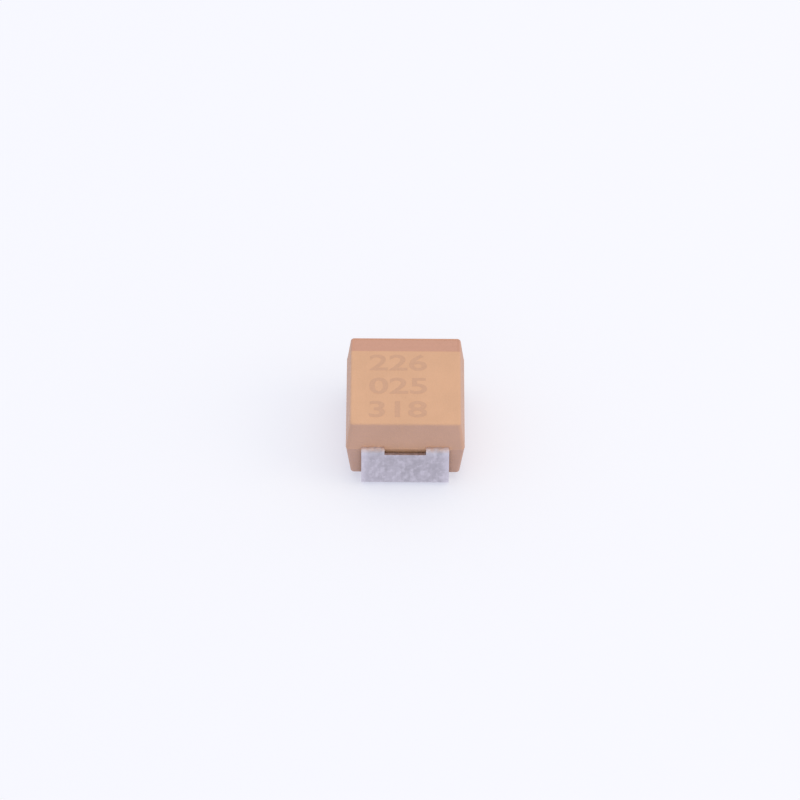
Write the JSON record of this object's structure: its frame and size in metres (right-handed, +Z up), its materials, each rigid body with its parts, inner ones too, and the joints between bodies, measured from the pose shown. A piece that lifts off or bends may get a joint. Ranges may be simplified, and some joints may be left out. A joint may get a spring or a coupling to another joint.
{
  "type": "tantalum capacitor",
  "caption": "Moulded chip tantalum capacitor for surface mounting, with folded end terminals, a polarity band and a complete coated pellet inside.",
  "frame": {"origin": "on the circuit board, under the middle of the part: z = 0 is the underside of both feet", "axes": "+Z up from the board, +Y along the length towards the anode, which is the end with the polarity band, and X across the width"},
  "size_m": [0.0028, 0.0034, 0.0019],
  "materials": {
    "epoxy": "satin moulded epoxy, orange tan",
    "tinned_strip": "dull tin plating with fine scratches",
    "sintered_tantalum": "porous sintered metal, dark grey",
    "tantalum_wire": "drawn wire, blue grey",
    "ptfe": "waxy white",
    "manganese_dioxide": "matte black, grainy",
    "graphite": "matte dark grey",
    "silver_paint": "brushed-on silver paint, matte",
    "silver_glue": "cured silver-filled glue, matte"
  },
  "bodies": {
    "root": {"molded_case": "epoxy", "cathode_terminal": "tinned_strip", "anode_terminal": "tinned_strip", "tantalum_pellet": "sintered_tantalum", "riser_wire": "tantalum_wire", "wire_washer": "ptfe", "manganese_dioxide_coat": "manganese_dioxide", "graphite_coat": "graphite", "silver_coat": "silver_paint", "silver_glue": "silver_glue"}
  },
  "joints": []
}
